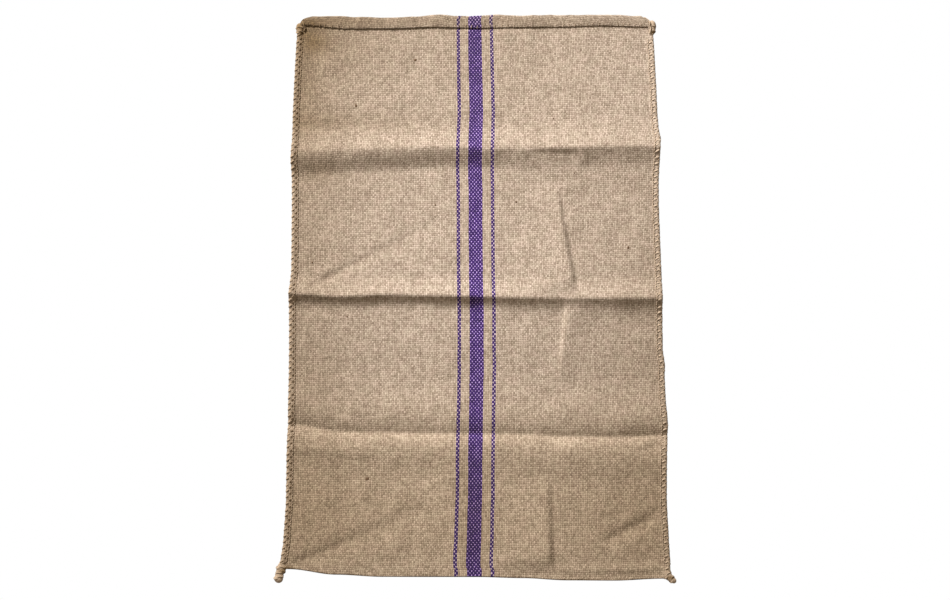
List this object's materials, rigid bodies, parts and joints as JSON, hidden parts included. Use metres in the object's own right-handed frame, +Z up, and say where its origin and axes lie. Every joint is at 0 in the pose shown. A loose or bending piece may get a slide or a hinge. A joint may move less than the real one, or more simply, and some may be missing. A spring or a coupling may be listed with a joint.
{
  "type": "jute sack",
  "caption": "Empty flat-lying sack of striped plain-weave jute with a turned hem, thick overhead side seams, twisted bottom ears and soft fold creases.",
  "frame": {"origin": "on the surface the sack lies on, under the middle of its outline", "axes": "+Z up from the surface, +Y along the sack towards its mouth, +X across it to the right of its front face"},
  "size_m": [0.6272, 0.9246, 0.0191],
  "materials": {
    "jute_cloth": "natural plain-weave jute with violet warp stripes",
    "jute_twine": "natural twisted jute sewing twine"
  },
  "bodies": {
    "root": {"sack_cloth": "jute_cloth", "seam_left": "jute_twine", "seam_right": "jute_twine", "ear_left": "jute_twine", "ear_right": "jute_twine", "knot_left": "jute_twine", "knot_right": "jute_twine"}
  },
  "joints": []
}
